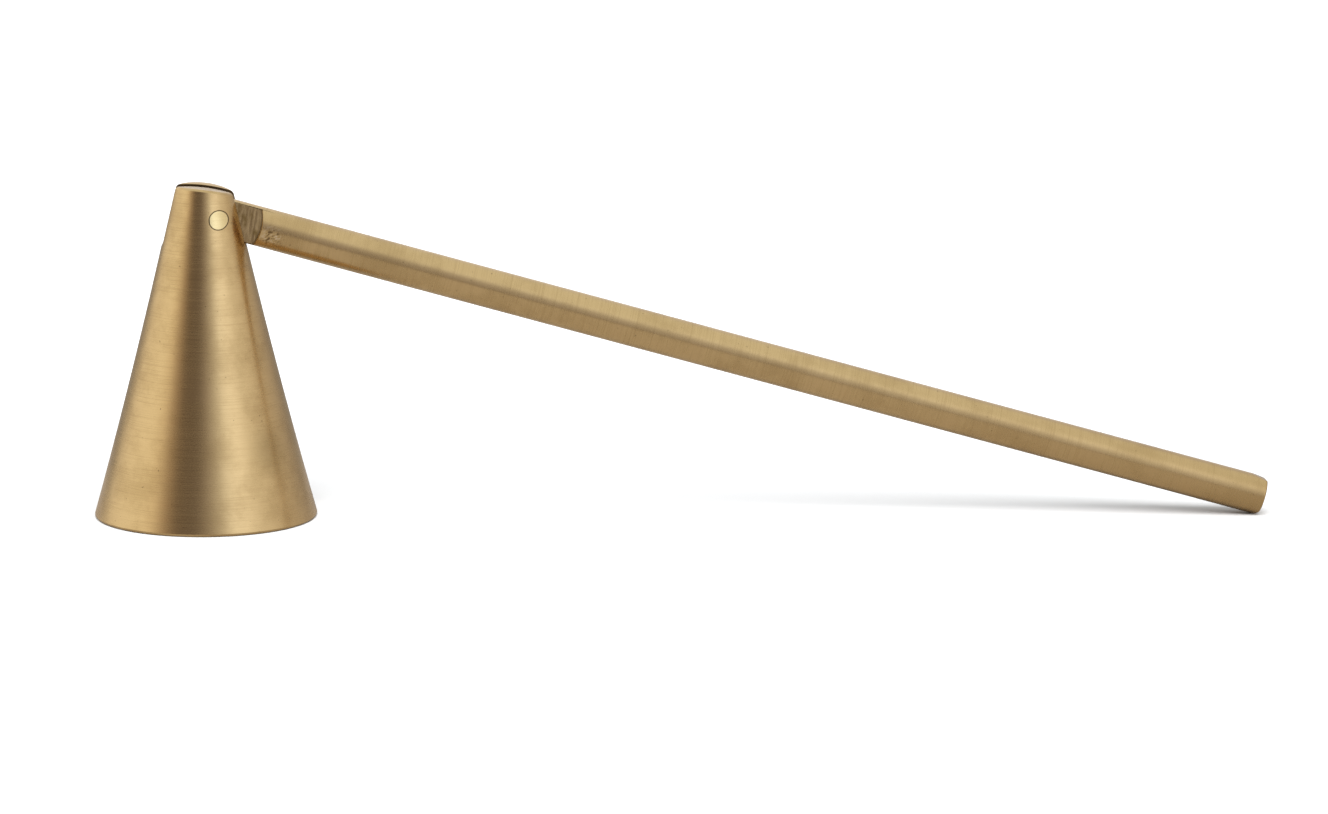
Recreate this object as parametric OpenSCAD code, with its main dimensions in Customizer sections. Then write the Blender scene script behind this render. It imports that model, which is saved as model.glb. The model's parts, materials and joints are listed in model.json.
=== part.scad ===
// Hinged candle snuffer: a turned brass cone with a slotted head, a round
// handle rod whose flat tongue swings in the slot, and a pin through both.
// The origin is the centre of the cone's mouth, on the table. +Z is up and
// +X points along the handle, which rests with its tip on the table.

/* [Cone] */
// Outer diameter of the open mouth
mouth_d = 38.1; // [34:0.1:42]
// Height from the mouth to the middle of the crown
cone_h = 57.1; // [54:0.1:60]
// Outer diameter that the sides reach at the crown
crown_d = 9.9; // [9.6:0.1:10.6]
// Radius of the crown's shallow arch, which runs along the slot
crown_arch_r = 24; // [20:1:40]
// Lean of the arch at its middle, lower on the handle's side
crown_tilt = 6.5; // [0:0.5:7]
// How far the sides curve inwards from a straight cone, at mid height
side_flare = 0.38; // [0:0.02:0.8]
// Thickness of the cone's wall
cone_wall = 1.4; // [1:0.1:1.8]
// Height at which the hollow inside stops following the wall
hollow_h = 42; // [38:0.5:43]
// Rounding of the mouth's outer edge
mouth_round = 0.5; // [0.2:0.05:0.6]

/* [Slot] */
// Width of the slot through the head
slot_w = 3; // [2.8:0.1:3.4]
// Depth of the slot's floor below the pin's axis
slot_depth = 5.1; // [5.1:0.1:6]
// Rounding of the slot's two floor corners
slot_corner = 0.9; // [0.6:0.1:1]

/* [Hinge pin] */
// Diameter of the pin
pin_d = 3.2; // [2.8:0.1:3.6]
// Distance of the pin's axis from the cone's axis, towards the handle
pin_x = 2.7; // [2.4:0.1:3.2]
// Distance of the pin's axis below the middle of the crown
pin_drop = 5.1; // [4.9:0.1:5.5]
// Radial clearance between the pin and the tongue's bore
pin_clearance = 0.04; // [0.02:0.01:0.08]

/* [Handle] */
// Diameter of the handle rod
rod_d = 6.8; // [6.4:0.1:7]
// Length from the pin's axis to the rod's far end
rod_len = 187; // [150:1:220]
// Thickness of the flat tongue that fits the slot
tongue_w = 2.75; // [2.5:0.05:2.75]
// Radius of the tongue's rounded end, from the pin's axis
tongue_end_r = 3.5; // [3.5:0.1:4]
// Radius of the curved shoulders, from the pin's axis
shoulder_r = 7.4; // [7:0.1:8]
// Rounding of the rod's far end
tip_round = 0.4; // [0.3:0.1:0.6]
// Size of the flat filed at 45 degrees under the far end
tip_flat = 0.9; // [0.7:0.1:1.2]
// Length of the shallow filed taper on top of the far end
taper_len = 3; // [2:0.5:6]
// Depth of that taper at the end face
taper_drop = 0.5; // [0.3:0.1:0.9]

/* [Hidden] */

aged_brass = [0.70, 0.57, 0.35];
bright_brass = [0.83, 0.70, 0.42];
ROUND = 96;         // facets of turned shapes
SIDE_BANDS = 8;     // straight bands that follow the flared side
ARC_STEPS = 5;      // steps of each rounded corner
OVERSHOOT = 12;     // how far cutters run past what they cut

mouth_r = mouth_d / 2;
crown_r = crown_d / 2;
rod_r = rod_d / 2;
pin_r = pin_d / 2;
pin_z = cone_h - pin_drop;
slot_floor_z = pin_z - slot_depth;

// Angle below level at which the edge of that flat just touches the table:
// reach * sin(a) + rod_r * cos(a) = pin_z, solved for a
tip_reach = rod_len - tip_flat;
rest_angle = asin(pin_z / norm([tip_reach, rod_r])) - atan2(rod_r, tip_reach);

// Outer radius of the cone's side at height z: a straight line from the
// mouth's rounding to the crown, pulled inwards by a shallow parabola
function side_r(z) =
    let (t = (z - mouth_round) / (cone_h - mouth_round))
    mouth_r + (crown_r - mouth_r) * t - side_flare * 4 * t * (1 - t);

// Points of an arc about a centre, from one angle to another
function arc(centre, r, from, to) =
    [for (i = [0:ARC_STEPS])
        let (a = from + (to - from) * i / ARC_STEPS)
        centre + r * [cos(a), sin(a)]];

// Half outline of the turned cone, which stands above its crown until that is cut
blank_h = cone_h + 2;
side_points = [for (i = [1:SIDE_BANDS])
    let (z = mouth_round + (blank_h - mouth_round) * i / SIDE_BANDS)
    [side_r(z), z]];
outer_outline = concat(
    [[0, 0]],
    arc([mouth_r - mouth_round, mouth_round], mouth_round, -90, 0),
    side_points,
    [[0, blank_h]]);

// Half outline of the hollow, which ends in the shallow point of a drill
hollow_points = [for (i = [0:SIDE_BANDS])
    let (z = hollow_h * i / SIDE_BANDS)
    [side_r(z) - cone_wall, z]];
hollow_tip_z = hollow_h + 2.2;
hollow_outline = concat([[0, -1], [mouth_r - cone_wall, -1]], hollow_points, [[0, hollow_tip_z]]);

module turned(outline) {
    rotate_extrude($fn = ROUND) polygon(outline);
}

// A round bar along Y, centred on the pin's axis
module cross_bar(r, length) {
    translate([pin_x, 0, pin_z]) rotate([90, 0, 0])
        cylinder(r = r, h = length, center = true, $fn = ROUND);
}

// The slot runs along X right through the head, with rounded floor corners
module head_slot() {
    run = crown_d + 2 * OVERSHOOT;
    corner_y = slot_w / 2 - slot_corner;
    translate([-run / 2, 0, slot_floor_z]) {
        translate([0, -slot_w / 2, slot_corner]) cube([run, slot_w, cone_h]);
        translate([0, -corner_y, 0]) cube([run, 2 * corner_y, 2 * slot_corner]);
        for (side = [-1, 1])
            translate([0, side * corner_y, slot_corner]) rotate([0, 90, 0])
                cylinder(r = slot_corner, h = run, $fn = ROUND);
    }
}

// What is cut off above the crown: the outside of a round bar along Y, whose
// axis lies behind the cone's, so that its surface leans towards the handle
module crown_cut() {
    difference() {
        translate([-OVERSHOOT, -OVERSHOOT, cone_h - 2]) cube(2 * OVERSHOOT);
        translate([-crown_arch_r * sin(crown_tilt), 0, cone_h - crown_arch_r * cos(crown_tilt)])
            rotate([90, 0, 0])
                cylinder(r = crown_arch_r, h = 4 * OVERSHOOT, center = true, $fn = ROUND);
    }
}

module snuffer_cone() {
    color(aged_brass) difference() {
        turned(outer_outline);
        crown_cut();
        turned(hollow_outline);
        head_slot();
        cross_bar(pin_r, mouth_d);
    }
}

// The pin's ends are dressed flush with the cone's sides
module hinge_pin() {
    color(bright_brass) intersection() {
        cross_bar(pin_r, mouth_d);
        turned(outer_outline);
    }
}

// The rod lies along +X from the pin's axis before it is tilted to rest
module rod_blank() {
    tip_points = arc([rod_len - tip_round, rod_r - tip_round], tip_round, 90, 0);
    body_outline = concat([[-tongue_end_r - 1, 0], [-tongue_end_r - 1, rod_r]],
        tip_points, [[rod_len, 0]]);
    rotate([90, 0, 90]) rotate_extrude($fn = ROUND)
        polygon([for (p = body_outline) [p[1], p[0]]]);
}

// What is filed off behind the pin, so that the tongue's end is round
module tongue_end_cut() {
    difference() {
        translate([-OVERSHOOT, -OVERSHOOT / 2, -OVERSHOOT / 2]) cube(OVERSHOOT);
        rotate([90, 0, 0]) cylinder(r = tongue_end_r, h = 2 * OVERSHOOT, center = true, $fn = ROUND);
    }
}

// Round cutter that leaves the flat side of the tongue and its shoulder
module cheek_cut(side) {
    translate([0, side * (tongue_w / 2 + rod_r / 2), 0]) rotate([90, 0, 0])
        cylinder(r = shoulder_r, h = rod_r, center = true, $fn = ROUND);
}

// Shallow flat filed on top of the far end
module tip_taper() {
    translate([rod_len - taper_len, 0, rod_r])
        rotate([0, atan(taper_drop / taper_len), 0])
            translate([0, -OVERSHOOT / 2, 0]) cube(OVERSHOOT);
}

// Small flat filed at 45 degrees under the far end
module tip_underside() {
    translate([rod_len - tip_flat, 0, -rod_r]) rotate([0, -45, 0])
        translate([-1, -OVERSHOOT / 2, -OVERSHOOT]) cube(OVERSHOOT);
}

module handle_rod() {
    color(aged_brass) translate([pin_x, 0, pin_z]) rotate([0, rest_angle, 0])
        difference() {
            rod_blank();
            tongue_end_cut();
            cheek_cut(1);
            cheek_cut(-1);
            tip_taper();
            tip_underside();
            rotate([90, 0, 0])
                cylinder(r = pin_r + pin_clearance, h = rod_d, center = true, $fn = ROUND);
        }
}

snuffer_cone();
hinge_pin();
handle_rod();
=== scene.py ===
# %% [markdown]
# # A hinged candle snuffer in aged brass
# The snuffer has three pieces: a hollow cone that is put over the flame, a round handle rod, and a
# pin that joins them. Each one is turned, slotted or filed metal, so each starts here as a lathe
# shape, is cut by boolean cutters the way a mill or a file would cut it, and has its sharp edges
# eased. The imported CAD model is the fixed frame: its boxes and its hinge say where everything is.

# %% Load the frame
import json
import math

import bmesh
import bpy
from mathutils import Matrix, Vector


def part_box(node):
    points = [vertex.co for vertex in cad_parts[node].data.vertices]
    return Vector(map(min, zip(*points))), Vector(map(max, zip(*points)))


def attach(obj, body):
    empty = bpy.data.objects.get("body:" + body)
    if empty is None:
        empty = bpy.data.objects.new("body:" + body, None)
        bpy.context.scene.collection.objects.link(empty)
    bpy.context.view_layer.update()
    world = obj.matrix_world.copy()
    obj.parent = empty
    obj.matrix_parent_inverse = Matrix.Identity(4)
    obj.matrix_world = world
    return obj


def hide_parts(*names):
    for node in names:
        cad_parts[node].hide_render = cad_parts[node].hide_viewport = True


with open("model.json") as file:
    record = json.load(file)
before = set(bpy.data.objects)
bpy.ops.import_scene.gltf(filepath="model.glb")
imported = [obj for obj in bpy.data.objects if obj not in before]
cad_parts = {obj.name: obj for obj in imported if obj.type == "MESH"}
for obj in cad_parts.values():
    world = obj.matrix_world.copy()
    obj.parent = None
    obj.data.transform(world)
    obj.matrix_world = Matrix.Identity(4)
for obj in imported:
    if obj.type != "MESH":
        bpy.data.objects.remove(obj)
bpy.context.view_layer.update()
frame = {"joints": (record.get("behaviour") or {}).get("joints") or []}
scene = bpy.context.scene
MM = 0.001

# %% [markdown]
# The cone's axis is the frame's Z axis. The hinge's own record says where the pin's axis is, and the
# boxes give the radii of the mouth, the pin and the rod. The rod leans down from the pin until its tip
# meets the table, which gives its angle, and the reach that follows is compared with the rod's box.
# Measuring the frame like this keeps every piece on its CAD solid.

# %% Measure the frame
cone_low, cone_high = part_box("snuffer_cone")
pin_low, pin_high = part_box("hinge_pin")
rod_low, rod_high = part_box("handle_rod")

PIN_AXIS = Vector(frame["joints"][0]["pos_m"])
PIN_RADIUS = (pin_high.x - pin_low.x) / 2
ROD_RADIUS = (rod_high.y - rod_low.y) / 2
MOUTH_RADIUS = (cone_high.x - cone_low.x) / 2
ROD_LENGTH = 187.0 * MM
TIP_ROUND = 0.4 * MM
TIP_FLAT = 0.9 * MM


def resting_angle():
    """The angle below level at which the edge of the tip's lower flat just touches the table."""
    reach = ROD_LENGTH - TIP_FLAT
    return math.asin(PIN_AXIS.z / math.hypot(reach, ROD_RADIUS)) - math.atan2(ROD_RADIUS, reach)


REST_ANGLE = resting_angle()
rod_reach = PIN_AXIS.x + ROD_LENGTH * math.cos(REST_ANGLE)
print(f"pin radius {PIN_RADIUS / MM:.2f} mm, rod radius {ROD_RADIUS / MM:.2f} mm")
print(f"rod leans {math.degrees(REST_ANGLE):.2f} degrees; reach {rod_reach / MM:.1f}",
      f"of {rod_high.x / MM:.1f} mm")

# %% [markdown]
# ## Camera
# A long lens a little above the table sees the snuffer from its side, with the cone on the left and
# the handle running down to the right. The camera is made first, because every piece is judged
# through it.

# %% Camera
VIEW_DISTANCE = 0.850
VIEW_ELEVATION = math.radians(10.6)
VIEW_AZIMUTH = math.radians(3.0)
VIEW_ROLL = math.radians(0.53)
VIEW_TARGET = Vector((0.0788, 0.0, 0.0188))
LENS_MM = 133.6

camera_data = bpy.data.cameras.new("camera")
camera_data.lens = LENS_MM
camera_data.sensor_width = 36.0
camera_data.clip_start = 0.01
camera = bpy.data.objects.new("camera", camera_data)
scene.collection.objects.link(camera)
sight = Vector((math.sin(VIEW_AZIMUTH) * math.cos(VIEW_ELEVATION),
                math.cos(VIEW_AZIMUTH) * math.cos(VIEW_ELEVATION),
                -math.sin(VIEW_ELEVATION)))
roll = Matrix.Rotation(VIEW_ROLL, 4, "Z")
camera.matrix_world = (Matrix.Translation(VIEW_TARGET - sight * VIEW_DISTANCE)
                       @ sight.to_track_quat("-Z", "Y").to_matrix().to_4x4() @ roll)
scene.camera = camera
print("camera at", [round(v, 3) for v in camera.matrix_world.translation])

# %% [markdown]
# ## Tools for turned and filed metal
# A lathe shape is half an outline spun round an axis. A cutter is a flat outline pushed along Y or X.
# A boolean modifier takes one from the other, and its result is kept as a plain mesh. Then a bevel
# modifier eases every edge that is sharper than a soft curve, because no real edge is perfectly
# sharp, and a thin bright line along an edge is what makes metal look like metal.

# %% Turn, push and keep
LATHE_STEPS = 128
SAME_POINT = 0.0005 * MM


def spaced(low, high, count):
    """Evenly spaced numbers from low to high, with this many steps between them."""
    return [low + (high - low) * i / count for i in range(count + 1)]


def arc(centre, radius, start, end, steps=8):
    """Points of an arc in a plane, from one angle in degrees to another."""
    turns = [math.radians(angle) for angle in spaced(start, end, steps)]
    return [(centre[0] + radius * math.cos(t), centre[1] + radius * math.sin(t)) for t in turns]


def finish_mesh(name, bm):
    """A new object from a bmesh, with doubles merged and faces turned outwards."""
    bmesh.ops.remove_doubles(bm, verts=bm.verts, dist=SAME_POINT)
    bmesh.ops.dissolve_degenerate(bm, edges=bm.edges, dist=SAME_POINT)
    bmesh.ops.recalc_face_normals(bm, faces=bm.faces)
    mesh = bpy.data.meshes.new(name)
    bm.to_mesh(mesh)
    bm.free()
    piece = bpy.data.objects.new(name, mesh)
    scene.collection.objects.link(piece)
    return piece


def turn(name, outline, steps=LATHE_STEPS):
    """Spins an outline of (radius, height) points round Z into a closed solid."""
    bm = bmesh.new()
    verts = [bm.verts.new((r, 0.0, z)) for r, z in outline]
    edges = [bm.edges.new(pair) for pair in zip(verts, verts[1:])]
    bmesh.ops.spin(bm, geom=verts + edges, cent=(0, 0, 0), axis=(0, 0, 1), dvec=(0, 0, 0),
                   angle=2 * math.pi, steps=steps, use_merge=True, use_duplicate=False)
    return finish_mesh(name, bm)


def push(name, outline, along, length):
    """Pushes a closed outline along X or Y, centred on the plane that it is drawn in."""
    bm = bmesh.new()
    half = length / 2
    if along == "Y":
        verts = [bm.verts.new((a, -half, b)) for a, b in outline]
        travel = (0, length, 0)
    else:
        verts = [bm.verts.new((-half, a, b)) for a, b in outline]
        travel = (length, 0, 0)
    face = bm.faces.new(verts)
    grown = bmesh.ops.extrude_face_region(bm, geom=[face], use_keep_orig=True)
    moved = [g for g in grown["geom"] if isinstance(g, bmesh.types.BMVert)]
    bmesh.ops.translate(bm, verts=moved, vec=travel)
    return finish_mesh(name, bm)


def keep_shape(piece):
    """Swaps the piece's mesh for what its modifiers make of it."""
    depsgraph = bpy.context.evaluated_depsgraph_get()
    depsgraph.update()
    made = bpy.data.meshes.new_from_object(piece.evaluated_get(depsgraph))
    piece.modifiers.clear()
    old = piece.data
    piece.data = made
    bpy.data.meshes.remove(old)


def cut(piece, cutter, operation="DIFFERENCE"):
    """Takes a cutter away from a piece, or keeps only what they share, then drops the cutter."""
    knife = piece.modifiers.new("cut", "BOOLEAN")
    knife.operation = operation
    knife.solver = "EXACT"
    knife.object = cutter
    keep_shape(piece)
    bpy.data.objects.remove(cutter)


def ease_edges(piece, width, segments=2, angle=38.0):
    """Rounds the sharp edges, shades the curves smooth and keeps the flats flat."""
    bm = bmesh.new()
    bm.from_mesh(piece.data)
    bmesh.ops.remove_doubles(bm, verts=bm.verts, dist=0.02 * MM)
    bmesh.ops.dissolve_degenerate(bm, edges=bm.edges, dist=0.01 * MM)
    for face in bm.faces:
        face.smooth = True
    bm.to_mesh(piece.data)
    bm.free()

    bevel = piece.modifiers.new("eased edges", "BEVEL")
    bevel.width = width
    bevel.segments = segments
    bevel.limit_method = "ANGLE"
    bevel.angle_limit = math.radians(angle)
    bevel.use_clamp_overlap = False
    bevel.harden_normals = True
    keep_shape(piece)
    print(piece.name, "has", len(piece.data.polygons), "faces")


# %% [markdown]
# A boolean leaves long, uneven faces round a hole, and smooth shading wobbles across them. The true
# surface is known, because it was turned, so each corner that lies on it is given the true normal.

# %% True normals
def set_true_normals(piece, true_normal):
    """Gives the corners of curved faces the normal that the turned surface has there."""
    mesh = piece.data
    normals = [Vector(n.vector) for n in mesh.corner_normals]
    changed = 0
    for face in mesh.polygons:
        for loop in face.loop_indices:
            point = mesh.vertices[mesh.loops[loop].vertex_index].co
            normal = true_normal(point)
            if normal is not None and normal.dot(face.normal) > 0.97:
                normals[loop] = normal
                changed += 1
    mesh.normals_split_custom_set(normals)
    print(piece.name, "has", changed, "corners on the turned surface")


# %% [markdown]
# ## The cone
# The cone is one turned piece. Its side isn't quite straight: it flares a little towards the mouth,
# which a shallow parabola gives. The mouth's lip is rounded, and the inside is hollow up to a drilled
# point below the solid head. The crown is filed to a shallow arch that leans a few degrees towards the
# handle, so the blank is turned taller than it ends up. Its rim is rounded before anything else is cut.

# %% The cone's outline
CONE_HEIGHT = 57.1 * MM
BLANK_HEIGHT = CONE_HEIGHT + 2.0 * MM
CROWN_RADIUS = 4.95 * MM
CROWN_TILT = math.radians(6.5)
CROWN_ARCH = 24.0 * MM
CROWN_ROUND = 0.5 * MM
SIDE_FLARE = 0.38 * MM
CONE_WALL = 1.4 * MM
HOLLOW_HEIGHT = 42.0 * MM
DRILL_POINT = 2.2 * MM
EDGE_ROUND = 0.5 * MM
LIP_INNER_ROUND = 0.25 * MM
SIDE_RINGS = 12


def side_radius(z):
    """The cone's outer radius at a height."""
    t = (z - EDGE_ROUND) / (CONE_HEIGHT - EDGE_ROUND)
    straight = MOUTH_RADIUS + (CROWN_RADIUS - MOUTH_RADIUS) * t
    return straight - SIDE_FLARE * 4 * t * (1 - t)


def side_normal(point):
    """The normal of the cone's side at a point on it, and None anywhere else."""
    radius = math.hypot(point.x, point.y)
    if point.z < EDGE_ROUND or abs(radius - side_radius(point.z)) > 0.03 * MM:
        return None
    step = 0.1 * MM
    slope = (side_radius(point.z + step) - side_radius(point.z - step)) / (2 * step)
    return Vector((point.x / radius, point.y / radius, -slope)).normalized()


solid_outline = [(0.0, 0.0)]
solid_outline += arc((MOUTH_RADIUS - EDGE_ROUND, EDGE_ROUND), EDGE_ROUND, -90, 0)
solid_outline += [(side_radius(z), z) for z in spaced(EDGE_ROUND, BLANK_HEIGHT, SIDE_RINGS)[1:]]
solid_outline += [(0.0, BLANK_HEIGHT)]

lip_r = MOUTH_RADIUS - CONE_WALL
below = 5 * MM
hollow_outline = [(0.0, -below), (lip_r + below, -below), (lip_r + LIP_INNER_ROUND, 0.0)]
hollow_outline += arc((lip_r + LIP_INNER_ROUND, LIP_INNER_ROUND), LIP_INNER_ROUND, 270, 180, 5)[1:]
hollow_outline += [(side_radius(z) - CONE_WALL, z)
                   for z in spaced(2 * LIP_INNER_ROUND, HOLLOW_HEIGHT, SIDE_RINGS)]
hollow_outline += [(0.0, HOLLOW_HEIGHT + DRILL_POINT)]
print("cone's outline has", len(solid_outline), "points, its hollow's", len(hollow_outline))

# %% [markdown]
# The slot is a flat-sided groove with rounded floor corners, milled right through the head along X,
# and the pin's hole is drilled across it along Y. Both are cutters, and so is the leaning block that
# takes off everything above the crown. Every cutter runs well past what it cuts.

# %% The cone's cutters
SLOT_WIDTH = 3.0 * MM
SLOT_CORNER = 0.9 * MM
SLOT_FLOOR = PIN_AXIS.z - 5.1 * MM
PAST = 12 * MM


def round_bar(name, radius, length, steps=64):
    """A cylinder along Y, centred on the pin's axis."""
    outline = arc((PIN_AXIS.x, PIN_AXIS.z), radius, 0, 360, steps)[:-1]
    return push(name, outline, "Y", length)


corner_y = SLOT_WIDTH / 2 - SLOT_CORNER
slot_outline = arc((-corner_y, SLOT_FLOOR + SLOT_CORNER), SLOT_CORNER, 180, 270, 12)
slot_outline += arc((corner_y, SLOT_FLOOR + SLOT_CORNER), SLOT_CORNER, 270, 360, 12)
slot_outline += [(SLOT_WIDTH / 2, CONE_HEIGHT + PAST), (-SLOT_WIDTH / 2, CONE_HEIGHT + PAST)]

block_outline = [(-PAST, 0.0), (PAST, 0.0), (PAST, PAST), (-PAST, PAST)]
crown_block = push("crown_block", block_outline, "Y", 2 * PAST)
crown_block.data.transform(Matrix.Translation((0, 0, CONE_HEIGHT))
                           @ Matrix.Rotation(CROWN_TILT, 4, "Y"))
print(f"slot floor is {(CONE_HEIGHT - SLOT_FLOOR) / MM:.1f} mm below the crown")

# %% [markdown]
# The real crown was filed over from end to end, which left it slightly arched. A boolean on a rounded
# and arched rim leaves gaps, so the crown is cut flat and rounded first, and it is arched only when
# all the cuts are done. It is divided into strips, and then each of its points, and of the rim's, is
# lowered from the flat to the arch. The points also move out as far as the cone's side widens on the
# way down, so that the rim stays on the side.

# %% Arch the crown
STRIPS_REACH = 4 * MM
STRIPS = 8
SIDE_SLOPE = 0.222


def divide_crown(bm, x):
    """Cuts the faces of the crown along a plane across X, and leaves all other faces whole."""
    top = [f for f in bm.faces if f.normal.z > 0.9 and f.calc_center_median().z > PIN_AXIS.z]
    geom = dict.fromkeys(top)
    geom.update(dict.fromkeys(e for f in top for e in f.edges))
    geom.update(dict.fromkeys(v for f in top for v in f.verts))
    bmesh.ops.bisect_plane(bm, geom=list(geom), dist=0.001 * MM,
                           plane_co=(x, 0, 0), plane_no=(1, 0, 0))


def arch_crown(piece):
    """Lowers the two ends of the flat crown, and the rim with them, until the crown is an arch."""
    bm = bmesh.new()
    bm.from_mesh(piece.data)
    for x in spaced(-STRIPS_REACH, STRIPS_REACH, STRIPS):
        divide_crown(bm, x)
    centre_x = -CROWN_ARCH * math.sin(CROWN_TILT)
    centre_z = CONE_HEIGHT - CROWN_ARCH * math.cos(CROWN_TILT)
    lowered = 0
    for vert in bm.verts:
        flat_z = CONE_HEIGHT - vert.co.x * math.tan(CROWN_TILT)
        if vert.co.z < flat_z - 1.2 * CROWN_ROUND:
            continue
        drop = flat_z - centre_z - math.sqrt(CROWN_ARCH ** 2 - (vert.co.x - centre_x) ** 2)
        vert.co.z -= drop
        vert.co.x += math.copysign(SIDE_SLOPE * drop, vert.co.x)
        lowered += 1
    bm.to_mesh(piece.data)
    bm.free()
    print(piece.name, "has", lowered, "points in its arched crown")


# %% Make the cone
FINE_EDGE = 0.07 * MM

cone = turn("candle_cone", solid_outline)
cut(cone, crown_block)
ease_edges(cone, CROWN_ROUND, 6)
cut(cone, turn("hollow", hollow_outline))
cut(cone, push("slot", slot_outline, "X", 4 * PAST))
cut(cone, round_bar("pin_hole", PIN_RADIUS, 4 * PAST))
arch_crown(cone)
ease_edges(cone, FINE_EDGE)
set_true_normals(cone, side_normal)

# %% [markdown]
# ## The hinge pin
# The pin is a plain round bar whose ends are dressed flush with the cone's sides. Keeping only what
# the bar shares with the solid cone gives exactly those curved ends.

# %% The pin
pin = round_bar("flush_pin", PIN_RADIUS, 4 * PAST)
cut(pin, turn("solid_cone", solid_outline), "INTERSECT")
ease_edges(pin, FINE_EDGE)
set_true_normals(pin, side_normal)

# %% [markdown]
# ## The handle rod
# The rod is turned round with a rounded far end, then worked by hand: two round cutters leave the
# flat tongue and its curved shoulders, the tongue's end is filed round about the pin so that it can
# swing in the slot, the bore is drilled, and the far end gets a shallow taper on top and a small flat
# underneath, on whose edge it rests. It is made lying along X from the pin's axis and then leaned.

# %% The rod
TONGUE_WIDTH = 2.75 * MM
TONGUE_END = 3.5 * MM
SHOULDER = 7.4 * MM
TAPER_LENGTH = 3.0 * MM
TAPER_DROP = 0.5 * MM
BORE_CLEARANCE = 0.04 * MM
ROD_EDGE = 0.1 * MM
ROD_RINGS = 14


def rod_normal(point):
    """The normal of the round rod, while it lies along X, and None off its round surface."""
    radius = math.hypot(point.y, point.z)
    if point.x > ROD_LENGTH - TIP_ROUND or abs(radius - ROD_RADIUS) > 0.02 * MM:
        return None
    return Vector((0, point.y / radius, point.z / radius))


SPARE = 1 * MM
rod_start = -TONGUE_END - SPARE
rod_outline = [(0.0, rod_start)]
rod_outline += [(ROD_RADIUS, z) for z in spaced(rod_start, ROD_LENGTH - TIP_ROUND, ROD_RINGS)]
rod_outline += arc((ROD_RADIUS - TIP_ROUND, ROD_LENGTH - TIP_ROUND), TIP_ROUND, 0, 90)[1:]
rod_outline += [(0.0, ROD_LENGTH)]

rod = turn("brass_handle", rod_outline)
rod.data.transform(Matrix.Rotation(math.radians(90), 4, "Y"))
print("rod lies along X:", [round(v / MM, 1) for v in rod.dimensions])

# %% File and drill the rod


def disc_outline(radius, steps=128):
    """A full circle about the pin's axis, in the rod's own place before it is leaned."""
    return arc((0.0, 0.0), radius, 0, 360, steps)[:-1]


end_outline = arc((0.0, 0.0), TONGUE_END, 90, 270, 48)
end_outline += [(0.0, -PAST), (-PAST, -PAST), (-PAST, PAST), (0.0, PAST)]
cut(rod, push("end_file", end_outline, "Y", 2 * PAST))
for side in (-1, 1):
    cheek = push("cheek", disc_outline(SHOULDER), "Y", ROD_RADIUS)
    cheek.data.transform(Matrix.Translation((0, side * (TONGUE_WIDTH + ROD_RADIUS) / 2, 0)))
    cut(rod, cheek)
cut(rod, push("bore", disc_outline(PIN_RADIUS + BORE_CLEARANCE, 64), "Y", 2 * PAST))

taper_outline = [(ROD_LENGTH - TAPER_LENGTH, ROD_RADIUS), (ROD_LENGTH, ROD_RADIUS - TAPER_DROP),
                 (ROD_LENGTH + TAPER_LENGTH, ROD_RADIUS - 2 * TAPER_DROP),
                 (ROD_LENGTH + TAPER_LENGTH, PAST), (ROD_LENGTH - TAPER_LENGTH, PAST)]
cut(rod, push("taper_file", taper_outline, "Y", 2 * PAST))
flat_outline = [(ROD_LENGTH - TIP_FLAT - SPARE, -ROD_RADIUS - SPARE),
                (ROD_LENGTH + SPARE, -ROD_RADIUS + TIP_FLAT + SPARE),
                (ROD_LENGTH + SPARE, -PAST), (ROD_LENGTH - TIP_FLAT - SPARE, -PAST)]
cut(rod, push("flat_file", flat_outline, "Y", 2 * PAST))
ease_edges(rod, ROD_EDGE)
set_true_normals(rod, rod_normal)
rod.data.transform(Matrix.Translation(PIN_AXIS) @ Matrix.Rotation(REST_ANGLE, 4, "Y"))

# %% [markdown]
# The cone and the pin stand on one body of the frame, and the rod swings on the other. Each piece takes
# the place of its CAD node.

# %% Give every piece its body, and hide the CAD node that it replaces
for piece, body, node, slot in (
    (cone, "cone", "snuffer_cone", "cone_brass"),
    (pin, "cone", "hinge_pin", "pin_brass"),
    (rod, "handle", "handle_rod", "rod_brass"),
):
    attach(piece, body)
    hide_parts(node)
    print(piece.name, "rides on", body)

# %% [markdown]
# ## Aged, brushed brass
# The metal was brushed while it turned, so fine lines run round the cone and round the rod, and the
# air has since toned it from gold towards brown in soft patches. Every pattern reads Object
# coordinates. A Mapping node of the Texture kind first moves to the piece's own axis, then turns,
# then divides by a size, so noise can be made long round the piece and very short along its axis.

# %% Small node helpers


def add(tree, kind, **settings):
    """A new node of this kind, with its settings."""
    node = tree.nodes.new(kind)
    for key, value in settings.items():
        setattr(node, key, value)
    return node


def math_node(tree, operation, first, second=None, clamp=False):
    """A Math node; each input is a socket to link or a plain number."""
    node = add(tree, "ShaderNodeMath", operation=operation, use_clamp=clamp)
    for socket, value in zip(node.inputs, (first, second)):
        if isinstance(value, (int, float)):
            socket.default_value = value
        elif value is not None:
            tree.links.new(value, socket)
    return node.outputs[0]


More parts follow.
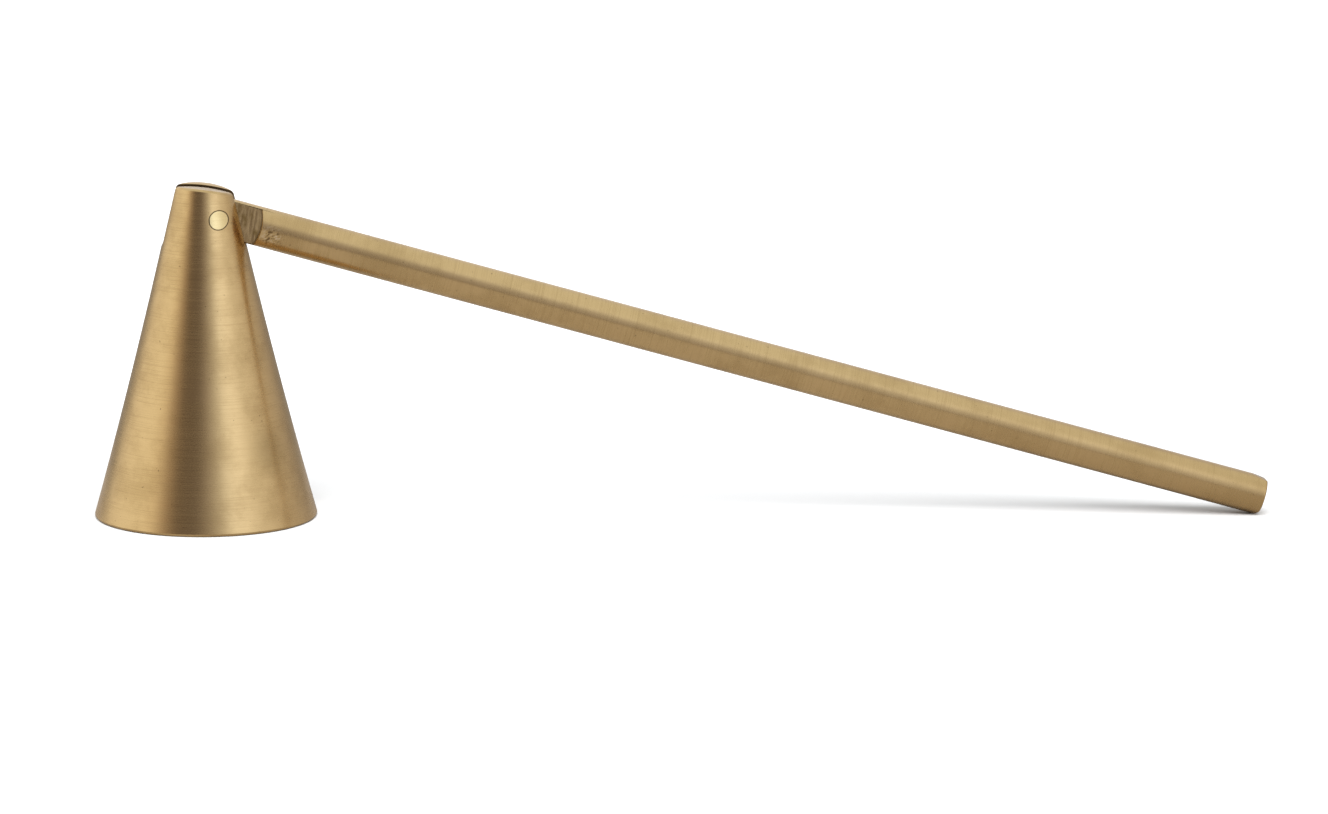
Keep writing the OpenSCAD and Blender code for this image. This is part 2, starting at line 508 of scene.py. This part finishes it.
def noise(tree, coordinates, place, turned, size, detail=3.0, roughness=0.6):
    """Noise whose grains have the given size in metres along each of the turned axes."""
    mapping = add(tree, "ShaderNodeMapping", vector_type="TEXTURE")
    mapping.inputs["Location"].default_value = place
    mapping.inputs["Rotation"].default_value = turned
    mapping.inputs["Scale"].default_value = size
    tree.links.new(coordinates, mapping.inputs["Vector"])
    texture = add(tree, "ShaderNodeTexNoise")
    texture.inputs["Scale"].default_value = 1.0
    texture.inputs["Detail"].default_value = detail
    texture.inputs["Roughness"].default_value = roughness
    tree.links.new(mapping.outputs[0], texture.inputs["Vector"])
    return texture.outputs["Fac"]


def spread(tree, value, low, high, out_low=0.0, out_high=1.0):
    """Maps a value from one range to another, smoothly and without running past the ends."""
    node = add(tree, "ShaderNodeMapRange", interpolation_type="SMOOTHSTEP")
    for socket, number in zip(node.inputs[1:5], (low, high, out_low, out_high)):
        socket.default_value = number
    tree.links.new(value, node.inputs[0])
    return node.outputs[0]


def tint(tree, amount, under, over):
    """Mixes from one colour to another by a 0 to 1 amount; each is a socket or a plain colour."""
    node = add(tree, "ShaderNodeMix", data_type="RGBA")
    tree.links.new(amount, node.inputs["Factor"])
    for socket, colour in ((node.inputs[6], under), (node.inputs[7], over)):
        if isinstance(colour, tuple):
            socket.default_value = (*colour, 1)
        else:
            tree.links.new(colour, socket)
    return node.outputs[2]


def distance_from(tree, coordinates, place, flatten):
    """Distance from a place, after each axis is multiplied by 1 to count it or 0 to ignore it."""
    away = add(tree, "ShaderNodeVectorMath", operation="SUBTRACT")
    tree.links.new(coordinates, away.inputs[0])
    away.inputs[1].default_value = place
    flat = add(tree, "ShaderNodeVectorMath", operation="MULTIPLY")
    tree.links.new(away.outputs[0], flat.inputs[0])
    flat.inputs[1].default_value = flatten
    length = add(tree, "ShaderNodeVectorMath", operation="LENGTH")
    tree.links.new(flat.outputs[0], length.inputs[0])
    return length.outputs["Value"]


def apart(tree, first, second):
    """How far one value is from another, whichever is larger."""
    return math_node(tree, "ABSOLUTE", math_node(tree, "SUBTRACT", first, second))


def split_xyz(tree, vector):
    """The X, Y and Z of a vector, as the outputs of one node."""
    node = add(tree, "ShaderNodeSeparateXYZ")
    tree.links.new(vector, node.inputs[0])
    return node.outputs


# %% [markdown]
# One recipe makes the brass of the cone and the rod. The brush lines move the colour and the
# roughness a little and press a faint bump. Slow noise lays the brown patina, and fine noise that
# only shows at its peaks leaves a few dark specks.

# %% The brass recipe
MIRROR_LINES = (0.20, 0.28)
PATINA_DULLS = 0.08
GOLD = (0.73, 0.515, 0.245)
TONED = (0.53, 0.355, 0.155)
GRIME_AND_SHADE = (0.085, 0.048, 0.02)
LINE_PITCH = 0.2 * MM


def brushed_brass(name, place, turned, along, gold, toned, line_depth):
    """Brass brushed round an axis; along is which of the turned axes that is."""
    material = bpy.data.materials.new(name)
    material.use_nodes = True
    tree = material.node_tree
    shader = tree.nodes["Principled BSDF"]
    shader.inputs["Metallic"].default_value = 1.0
    coordinates = add(tree, "ShaderNodeTexCoord").outputs["Object"]

    line_size = [14 * MM] * 3
    line_size[along] = LINE_PITCH
    lines = noise(tree, coordinates, place, turned, line_size, 4.0, 0.65)
    band_size = [30 * MM] * 3
    band_size[along] = 1.6 * MM
    bands = noise(tree, coordinates, place, turned, band_size, 3.0)
    patches = noise(tree, coordinates, place, turned, (9 * MM, 9 * MM, 9 * MM), 5.0, 0.65)
    specks = noise(tree, coordinates, place, turned, (0.7 * MM, 0.7 * MM, 0.7 * MM), 2.0)

    patina = spread(tree, patches, 0.42, 0.68, 0.0, 0.55)
    colour = tint(tree, patina, gold, toned)
    colour = tint(tree, spread(tree, bands, 0.45, 0.75, 0.0, 0.12), colour, toned)
    colour = tint(tree, spread(tree, lines, 0.46, 0.70, 0.0, line_depth), colour, toned)
    colour = tint(tree, spread(tree, specks, 0.70, 0.78, 0.0, 0.55), colour, GRIME_AND_SHADE)

    rough = spread(tree, lines, 0.3, 0.7, *MIRROR_LINES)
    rough = math_node(tree, "ADD", rough, math_node(tree, "MULTIPLY", patina, PATINA_DULLS))
    tree.links.new(rough, shader.inputs["Roughness"])

    bump = add(tree, "ShaderNodeBump")
    bump.inputs["Strength"].default_value = 0.18
    bump.inputs["Distance"].default_value = 0.01 * MM
    tree.links.new(lines, bump.inputs["Height"])
    tree.links.new(bump.outputs[0], shader.inputs["Normal"])
    tree.links.new(colour, shader.inputs["Base Color"])
    return material, tree, coordinates, colour, shader


# %% [markdown]
# Dirt and polish settle in the joint round the pin, which draws a thin dark ring there. The slot's
# walls between the ears are darkened with painted shade. The cone also has a dull brown patch painted
# low on the handle's side.

# %% The dark ring round the pin
RING_HALF_WIDTH = 0.10 * MM


def joint_ring(tree, coordinates, colour):
    """Darkens a thin ring where the pin meets the cone."""
    distance = distance_from(tree, coordinates, PIN_AXIS, (1, 0, 1))
    off = apart(tree, distance, PIN_RADIUS)
    ring = spread(tree, off, RING_HALF_WIDTH * 0.5, RING_HALF_WIDTH * 1.2, 0.85, 0.0)
    return tint(tree, ring, colour, GRIME_AND_SHADE)


# %% The cone's brass
DULL_PATCH_AT = (0.0112, -0.0106, 0.0135)
DULL_PATCH = (0.36, 0.25, 0.11)

cone_material, tree, coordinates, colour, shader = brushed_brass(
    "cone_brass", (0, 0, 0), (0, 0, 0), 2, GOLD, TONED, 0.22)
# A dull brown patch is painted low on the handle's side of the cone.
dull_patch_distance = distance_from(tree, coordinates, DULL_PATCH_AT, (1, 1, 0.8))
dull_patch = spread(tree, dull_patch_distance, 1 * MM, 5 * MM, 0.45, 0.0)
colour = tint(tree, dull_patch, colour, DULL_PATCH)
colour = joint_ring(tree, coordinates, colour)
place = split_xyz(tree, coordinates)
# Painted shade: the slot's walls and floor between the ears are darkened nearly to black.
between_ears = spread(tree, math_node(tree, "ABSOLUTE", place["Y"]),
                      SLOT_WIDTH / 2 + 0.01 * MM, SLOT_WIDTH / 2 + 0.05 * MM, 1.0, 0.0)
above_floor = spread(tree, place["Z"], SLOT_FLOOR - 0.1 * MM, SLOT_FLOOR)
slot_shade = math_node(tree, "MULTIPLY", between_ears, above_floor)
colour = tint(tree, math_node(tree, "MULTIPLY", slot_shade, 0.85), colour, GRIME_AND_SHADE)
tree.links.new(colour, shader.inputs["Base Color"])
print("cone's brass has", len(tree.nodes), "nodes")

# %% [markdown]
# The pin's ends were dressed last, so they are yellower and cleaner than the cone round them.

# %% The pin's brass
FRESH_GOLD = (0.90, 0.72, 0.37)
FRESH_TONED = (0.80, 0.60, 0.28)

pin_material, tree, coordinates, colour, shader = brushed_brass(
    "pin_brass", PIN_AXIS, (0, 0, 0), 2, FRESH_GOLD, FRESH_TONED, 0.20)
colour = joint_ring(tree, coordinates, colour)
tree.links.new(colour, shader.inputs["Base Color"])
print("pin's brass has", len(tree.nodes), "nodes")

# %% [markdown]
# The rod's brass is brushed round the rod, so its pattern is turned to the rod's lean, and it is
# browner and darker towards the far end.

# %% The rod's brass
FAR_END_TONE = (0.55, 0.36, 0.155)

rod_material, tree, coordinates, colour, shader = brushed_brass(
    "rod_brass", PIN_AXIS, (0, REST_ANGLE, 0), 0, GOLD, TONED, 0.50)
# The rod is painted browner and darker towards its far end.
far_end_tone = spread(tree, split_xyz(tree, coordinates)["X"], 0.10, 0.175, 0.0, 0.35)
colour = tint(tree, far_end_tone, colour, FAR_END_TONE)
print("rod's brass has", len(tree.nodes), "nodes so far")

# %% [markdown]
# The flats of the tongue were only filed: they are dark, dull and brown, with streaks across the rod,
# and painted shade darkens them along the curved shoulder. They are found by three tests: the face
# looks along Y, it lies within the shoulder's circle about the pin, and it is no further from the
# middle than half the tongue.

# %% Find the filed flats
from_pin = distance_from(tree, coordinates, PIN_AXIS, (1, 0, 1))
facing = split_xyz(tree, add(tree, "ShaderNodeNewGeometry").outputs["Normal"])
flatness = spread(tree, math_node(tree, "ABSOLUTE", facing["Y"]), 0.9, 0.98)
near_pin = spread(tree, from_pin, SHOULDER + 0.1 * MM, SHOULDER + 0.3 * MM, 1.0, 0.0)
inward = spread(tree, distance_from(tree, coordinates, PIN_AXIS, (0, 1, 0)),
                1.5 * MM, 1.8 * MM, 1.0, 0.0)
filed = math_node(tree, "MULTIPLY", math_node(tree, "MULTIPLY", flatness, near_pin), inward)

# %% Colour the filed flats
STREAK_DARK = (0.30, 0.20, 0.10)
STREAK_PALE = (0.62, 0.46, 0.25)
BLOTCH = (0.26, 0.17, 0.06)
SHOULDER_SHADE = (0.13, 0.08, 0.03)

streaks = noise(tree, coordinates, PIN_AXIS, (0, REST_ANGLE - 0.12, 0),
                (0.32 * MM, 3 * MM, 4 * MM), 4.0, 0.7)
filed_colour = tint(tree, spread(tree, streaks, 0.30, 0.70), STREAK_DARK, STREAK_PALE)
blotches = noise(tree, coordinates, PIN_AXIS, (0, REST_ANGLE, 0), (1.6 * MM, 1.6 * MM, 2.4 * MM))
filed_colour = tint(tree, spread(tree, blotches, 0.45, 0.70, 0.0, 0.8), filed_colour, BLOTCH)
# Painted shade: a dark band along the shoulder's curved edge.
off_edge = apart(tree, from_pin, SHOULDER)
filed_colour = tint(tree, spread(tree, off_edge, 0.08 * MM, 0.45 * MM, 0.75, 0.0),
                    filed_colour, SHOULDER_SHADE)
colour = tint(tree, filed, colour, filed_colour)
print("rod's brass has", len(tree.nodes), "nodes with its filed flats")

# %% [markdown]
# Where the file met the shoulder it slipped now and then, so a few small pits lie just beyond it,
# on the lower half of the rod.

# %% Pits beside the shoulder
PITS_AT = PIN_AXIS + Matrix.Rotation(REST_ANGLE, 3, "Y") @ Vector((9.4 * MM, 0, -0.9 * MM))
PIT = (0.20, 0.12, 0.05)
NICK = (0.95, 0.78, 0.55)

pit_area = spread(tree, distance_from(tree, coordinates, PITS_AT, (1, 0, 1)),
                  0.8 * MM, 2.6 * MM, 1.0, 0.0)
pit_noise = noise(tree, coordinates, PIN_AXIS, (0, REST_ANGLE - 0.5, 0),
                  (0.8 * MM, 0.6 * MM, 0.35 * MM), 3.0, 0.6)
dark_pits = math_node(tree, "MULTIPLY", pit_area, spread(tree, pit_noise, 0.53, 0.62, 0.0, 0.9))
light_nicks = math_node(tree, "MULTIPLY", pit_area, spread(tree, pit_noise, 0.44, 0.36, 0.0, 0.7))
colour = tint(tree, dark_pits, colour, PIT)
colour = tint(tree, light_nicks, colour, NICK)
tree.links.new(colour, shader.inputs["Base Color"])
print("pits are centred at", [round(v / MM, 1) for v in PITS_AT], "mm")

# %% Put the brass on
for piece, material in ((cone, cone_material), (pin, pin_material), (rod, rod_material)):
    piece.data.materials.clear()
    piece.data.materials.append(material)
    print(piece.name, "is", material.name)

# %% [markdown]
# ## The studio
# The snuffer lies on white paper under soft light. Metal shows almost nothing but its surroundings,
# so the studio is what it reflects: a bright card on the left, a dark gap in front, a bright cool
# window to the right that fades towards the back, a pale ceiling and a dark skirting just above the
# table. The ramp below is read by compass direction, from behind through the left, the front and the
# right to behind again. The paper is dimmer where the metal mirrors it, dimmest towards the back, so
# that the rod's underside and its edges keep their depth.

# %% Floor
FLOOR_HALF = 3.0
LIT_NEAR = (0.68, 0.68, 0.68)
LIT_BEHIND = (0.76, 0.76, 0.76)
MIRRORED_NEAR = (0.28, 0.262, 0.25)
MIRRORED_BEHIND = (0.17, 0.16, 0.15)

bm = bmesh.new()
bmesh.ops.create_grid(bm, x_segments=1, y_segments=1, size=FLOOR_HALF)
floor = finish_mesh("floor", bm)
paper = bpy.data.materials.new("pale_paper")
paper.use_nodes = True
tree = paper.node_tree
shader = tree.nodes["Principled BSDF"]
shader.inputs["Roughness"].default_value = 0.9
shader.inputs["Specular IOR Level"].default_value = 0.0
place = split_xyz(tree, add(tree, "ShaderNodeTexCoord").outputs["Object"])
behind = spread(tree, place["Y"], 0.03, 0.15)
mirrored = tint(tree, behind, MIRRORED_NEAR, MIRRORED_BEHIND)
# Painted light: seen other than in the metal, the paper is brighter towards the back, which keeps the
# floor behind the snuffer white.
lit = tint(tree, behind, LIT_NEAR, LIT_BEHIND)
mirror_ray = add(tree, "ShaderNodeLightPath").outputs["Is Glossy Ray"]
tree.links.new(tint(tree, mirror_ray, lit, mirrored), shader.inputs["Base Color"])
floor.data.materials.append(paper)
print("floor is", paper.name)

# %% The studio's shades
STUDIO = [
    (-180, (0.86, 0.86, 0.88)),
    (-150, (0.92, 0.92, 0.92)),
    (-122, (0.98, 0.97, 0.96)),
    (-97, (1.00, 1.00, 0.99)),
    (-73, (1.03, 1.03, 1.01)),
    (-58, (0.88, 0.83, 0.76)),
    (-44, (0.42, 0.34, 0.29)),
    (-31, (0.15, 0.125, 0.12)),
    (-8, (0.15, 0.13, 0.135)),
    (4, (0.33, 0.31, 0.34)),
    (17, (0.62, 0.64, 0.70)),
    (31, (1.14, 1.22, 1.38)),
    (47, (1.16, 1.22, 1.36)),
    (61, (0.88, 0.90, 0.94)),
    (77, (0.82, 0.82, 0.84)),
    (97, (0.63, 0.60, 0.58)),
    (122, (0.55, 0.53, 0.54)),
    (150, (0.54, 0.54, 0.62)),
    (168, (0.80, 0.81, 0.86)),
    (180, (0.86, 0.86, 0.88)),
]
CEILING = (0.80, 0.84, 0.86)
HORIZON = (0.16, 0.12, 0.06)
STUDIO_STRENGTH = 1.4
print("studio has", len(STUDIO), "shades")

# %% World
world = bpy.data.worlds.new("studio")
scene.world = world
world.use_nodes = True
tree = world.node_tree
direction = split_xyz(tree, add(tree, "ShaderNodeTexCoord").outputs["Generated"])
backwards = math_node(tree, "MULTIPLY", direction["Y"], -1.0)
compass = math_node(tree, "ARCTAN2", direction["X"], backwards)
compass = math_node(tree, "ADD", math_node(tree, "MULTIPLY", compass, 0.5 / math.pi), 0.5)
ramp = add(tree, "ShaderNodeValToRGB")
stops = ramp.color_ramp.elements
for index, (degrees, shade) in enumerate(STUDIO):
    position = degrees / 360 + 0.5
    stop = stops[index] if index < 2 else stops.new(position)
    stop.position = position
    stop.color = (*[value / STUDIO_STRENGTH for value in shade], 1)
tree.links.new(compass, ramp.inputs[0])
overhead = spread(tree, direction["Z"], 0.45, 0.85)
sky = tint(tree, overhead, ramp.outputs["Color"], tuple(v / STUDIO_STRENGTH for v in CEILING))
skirting = spread(tree, direction["Z"], 0.0, 0.07, 0.6, 0.0)
sky = tint(tree, skirting, sky, HORIZON)
background = tree.nodes["Background"]
background.inputs["Strength"].default_value = STUDIO_STRENGTH
tree.links.new(sky, background.inputs["Color"])
white = add(tree, "ShaderNodeBackground")
white.inputs["Color"].default_value = (1, 1, 1, 1)
choice = add(tree, "ShaderNodeMixShader")
tree.links.new(add(tree, "ShaderNodeLightPath").outputs["Is Camera Ray"], choice.inputs[0])
tree.links.new(background.outputs[0], choice.inputs[1])
tree.links.new(white.outputs[0], choice.inputs[2])
tree.links.new(choice.outputs[0], tree.nodes["World Output"].inputs["Surface"])
scene.view_settings.view_transform = "Standard"
print("world reads", len(stops), "stops of its ramp")

# %% [markdown]
# A very soft light from above and a little in front brightens the paper to white. It leaves a soft
# shadow just behind the rod's tip, which fades as the rod rises. The light is kept out of
# reflections, which the studio already gives.

# %% Overhead light
SUN_ENERGY = 4.2
SUN_SPREAD = math.radians(50)
SUN_TILT = math.radians(36)

lamp_data = bpy.data.lights.new("overhead", "SUN")
lamp_data.energy = SUN_ENERGY
lamp_data.angle = SUN_SPREAD
lamp = bpy.data.objects.new("overhead", lamp_data)
lamp.rotation_euler = (SUN_TILT, 0, 0)
lamp.visible_glossy = False
scene.collection.objects.link(lamp)
print("light tilts", round(math.degrees(SUN_TILT)), "degrees from overhead")
